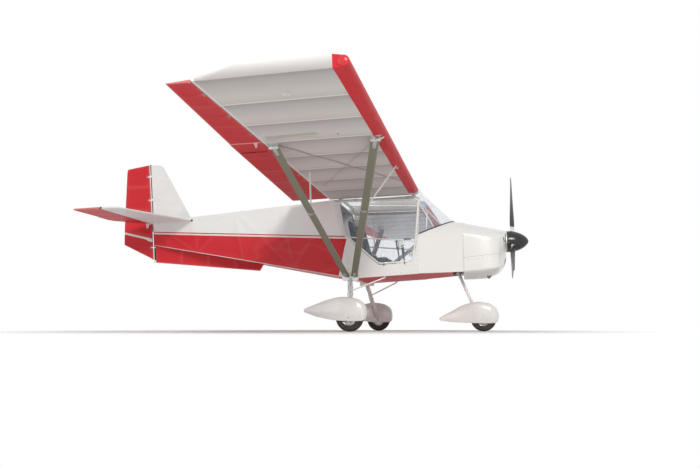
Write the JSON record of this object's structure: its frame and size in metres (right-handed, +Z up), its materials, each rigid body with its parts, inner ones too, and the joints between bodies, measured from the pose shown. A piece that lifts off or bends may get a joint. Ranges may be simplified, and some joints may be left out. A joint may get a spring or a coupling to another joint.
{
  "type": "ultralight aircraft",
  "caption": "Strut-braced high-wing ultralight aircraft with a tractor propeller, side-by-side cabin, nose-wheel gear, hinged doors and working control surfaces.",
  "frame": {"origin": "on the floor midway along the aircraft, on its plane of symmetry", "axes": "+X forward to the propeller, +Y to the aircraft's left, +Z up"},
  "size_m": [5.6, 9.5032, 2.3561],
  "materials": {
    "white_fabric": "satin",
    "red_fabric": "satin",
    "white_skin": "gloss",
    "clear_sheet": "gloss",
    "bare_metal": "satin",
    "engine_metal": "matte",
    "frame_tube": "satin",
    "grey_tube": "satin",
    "white_tube": "gloss",
    "dark_metal": "satin",
    "black_plastic": "matte",
    "black_gloss": "gloss",
    "seat_cloth": "matte",
    "tyre_rubber": "matte"
  },
  "bodies": {
    "airframe": {"rear_fuselage": "white_fabric", "ventral_fin": "red_fabric", "cabin_sides": "red_fabric", "floor_panel": "red_fabric", "front_deck": "white_skin", "firewall": "bare_metal", "engine_block": "engine_metal", "cowl": "white_skin", "windscreen": "clear_sheet", "roof_panel": "clear_sheet", "instrument_panel": "black_plastic", "seats": "seat_cloth", "seat_legs": "bare_metal", "controls": "black_plastic", "longerons": "frame_tube", "door_posts": "frame_tube", "roof_tubes": "frame_tube", "roof_braces": "frame_tube", "windscreen_tubes": "frame_tube", "wing_left": "white_fabric", "wing_right": "white_fabric", "front_struts": "grey_tube", "rear_struts": "grey_tube", "jury_struts": "white_tube", "gear_fittings": "bare_metal", "fin": "white_fabric", "stabiliser": "white_fabric", "main_legs": "grey_tube", "drag_braces": "grey_tube", "main_spats": "white_skin", "nose_mount": "dark_metal"},
    "propeller": {"propeller": "black_plastic", "spinner": "black_gloss"},
    "wheel_left": {"left_rim": "bare_metal", "left_tyre": "tyre_rubber"},
    "wheel_right": {"right_rim": "bare_metal", "right_tyre": "tyre_rubber"},
    "nose_gear": {"nose_leg": "white_tube", "nose_spat": "white_skin"},
    "nose_wheel": {"nose_rim": "bare_metal", "nose_tyre": "tyre_rubber"},
    "aileron_left": {"aileron_left": "red_fabric"},
    "aileron_right": {"aileron_right": "red_fabric"},
    "flap_left": {"flap_left": "red_fabric"},
    "flap_right": {"flap_right": "red_fabric"},
    "elevator": {"elevator": "red_fabric", "trim_tab": "dark_metal"},
    "rudder": {"rudder": "red_fabric"},
    "door_left": {"door_frame_left": "white_tube", "door_pane_left": "clear_sheet"},
    "door_right": {"door_frame_right": "white_tube", "door_pane_right": "clear_sheet"}
  },
  "joints": [
    {"name": "propeller_spin", "type": "hinge", "parent": "airframe", "child": "propeller", "pos_m": [2.6, 0, 1.133], "axis": [1, 0, 0], "continuous": true},
    {"name": "wheel_left_spin", "type": "hinge", "parent": "airframe", "child": "wheel_left", "pos_m": [0.7, 1.03, 0.165], "axis": [0, 1, 0], "continuous": true},
    {"name": "wheel_right_spin", "type": "hinge", "parent": "airframe", "child": "wheel_right", "pos_m": [0.7, -1.03, 0.165], "axis": [0, 1, 0], "continuous": true},
    {"name": "nose_steering", "type": "hinge", "parent": "airframe", "child": "nose_gear", "pos_m": [2.075, 0, 0.368], "axis": [-0.3974, 0, 0.9176], "range_deg": [-25, 25]},
    {"name": "nose_wheel_spin", "type": "hinge", "parent": "nose_gear", "child": "nose_wheel", "pos_m": [2.215, 0, 0.16], "axis": [0, 1, 0], "continuous": true},
    {"name": "aileron_left_hinge", "type": "hinge", "parent": "airframe", "child": "aileron_left", "pos_m": [0.30734, 0.5, 1.67915], "axis": [0, 0.9997, 0.0244], "range_deg": [-20, 20]},
    {"name": "aileron_right_hinge", "type": "hinge", "parent": "airframe", "child": "aileron_right", "pos_m": [0.30734, -0.5, 1.67915], "axis": [0, 0.9997, -0.0244], "range_deg": [-20, 20]},
    {"name": "flap_left_hinge", "type": "hinge", "parent": "airframe", "child": "flap_left", "pos_m": [0.30734, 0.5, 1.67915], "axis": [0, -0.9997, -0.0244], "range_deg": [0, 35]},
    {"name": "flap_right_hinge", "type": "hinge", "parent": "airframe", "child": "flap_right", "pos_m": [0.30734, -0.5, 1.67915], "axis": [0, -0.9997, 0.0244], "range_deg": [0, 35]},
    {"name": "elevator_hinge", "type": "hinge", "parent": "airframe", "child": "elevator", "pos_m": [-2.385, 0, 1.51], "axis": [0, 1, 0], "range_deg": [-20, 25]},
    {"name": "rudder_hinge", "type": "hinge", "parent": "airframe", "child": "rudder", "pos_m": [-2.343, 0, 0.993], "axis": [-0.0878, 0, 0.9961], "range_deg": [-25, 25]},
    {"name": "door_left_hinge", "type": "hinge", "parent": "airframe", "child": "door_left", "pos_m": [0.985, 0.555, 1.65], "axis": [1, 0, 0], "range_deg": [0, 80]},
    {"name": "door_right_hinge", "type": "hinge", "parent": "airframe", "child": "door_right", "pos_m": [0.985, -0.555, 1.65], "axis": [-1, 0, 0], "range_deg": [0, 80]}
  ],
  "couplings": [
    {"joint": "aileron_right_hinge", "follows": "aileron_left_hinge", "ratio": -1},
    {"joint": "flap_right_hinge", "follows": "flap_left_hinge", "ratio": 1},
    {"joint": "nose_steering", "follows": "rudder_hinge", "ratio": -1}
  ]
}
